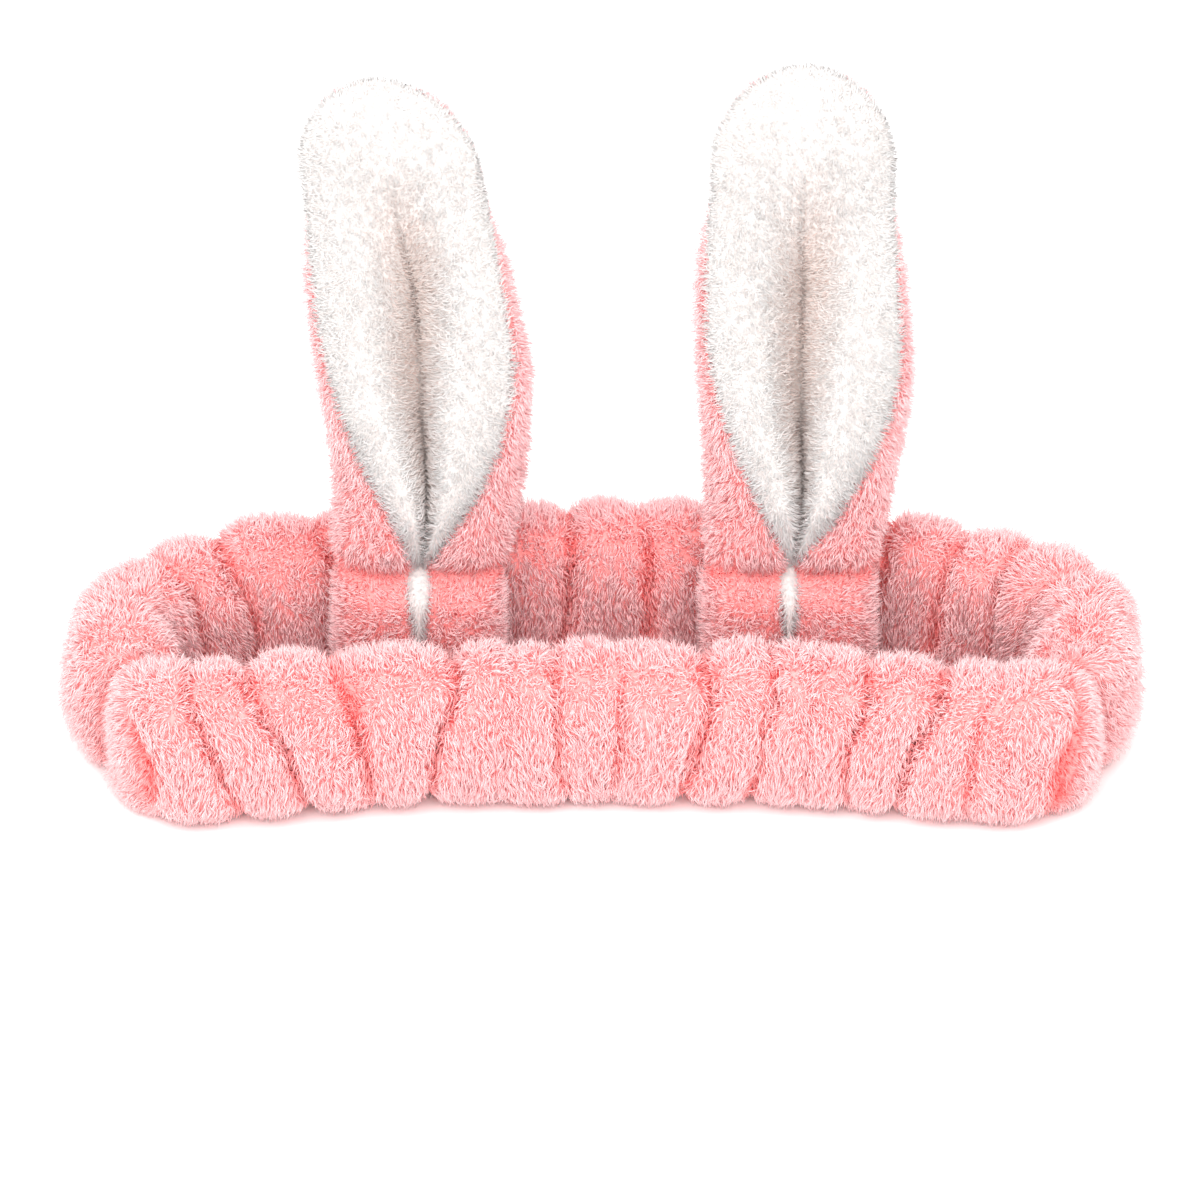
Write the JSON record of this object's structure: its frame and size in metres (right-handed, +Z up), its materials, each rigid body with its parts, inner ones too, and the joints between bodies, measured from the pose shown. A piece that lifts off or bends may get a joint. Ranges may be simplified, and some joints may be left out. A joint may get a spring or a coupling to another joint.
{
  "type": "spa headband",
  "caption": "Gathered plush elastic headband loop with two upright padded rabbit ears that have pale linings and fold at their feet.",
  "frame": {"origin": "centre of the bounding box, on the surface that the band stands on", "axes": "+X across the band from one side seam to the other, +Y towards the sleeve that carries the ears, +Z up along the ears; the pale linings face -Y"},
  "size_m": [0.2406, 0.0976, 0.1601],
  "materials": {
    "pink_fleece": "long-pile coral fleece, silky tufts",
    "white_plush": "dense short white plush",
    "wadding": "bonded fibre wadding",
    "elastic": "woven flat elastic",
    "thread": "spun polyester sewing thread"
  },
  "bodies": {
    "rear_band": {"rear_sleeve": "pink_fleece", "rear_elastic": "elastic", "rear_sleeve_seam": "thread", "right_side_seam": "thread", "left_side_seam": "thread", "left_root_back": "pink_fleece", "left_root_lining": "white_plush", "left_tack_stitches": "thread", "right_root_back": "pink_fleece", "right_root_lining": "white_plush", "right_tack_stitches": "thread"},
    "front_band": {"front_sleeve": "pink_fleece", "front_elastic": "elastic", "front_sleeve_seam": "thread"},
    "left_ear": {"left_ear_back": "pink_fleece", "left_ear_lining": "white_plush", "left_ear_wadding": "wadding", "left_ear_edge_seam": "thread"},
    "right_ear": {"right_ear_back": "pink_fleece", "right_ear_lining": "white_plush", "right_ear_wadding": "wadding", "right_ear_edge_seam": "thread"}
  },
  "joints": [
    {"name": "band_stretch", "type": "slide", "parent": "rear_band", "child": "front_band", "axis": [0, -1, 0], "range_m": [0, 0.06], "stiffness_N_per_m": 60},
    {"name": "left_ear_fold", "type": "hinge", "parent": "rear_band", "child": "left_ear", "pos_m": [-0.041, 0.01113, 0.036], "axis": [1, 0, 0], "range_deg": [-30, 60], "stiffness_Nm_per_rad": 0.012},
    {"name": "right_ear_fold", "type": "hinge", "parent": "rear_band", "child": "right_ear", "pos_m": [0.041, 0.01113, 0.036], "axis": [1, 0, 0], "range_deg": [-30, 60], "stiffness_Nm_per_rad": 0.012}
  ]
}
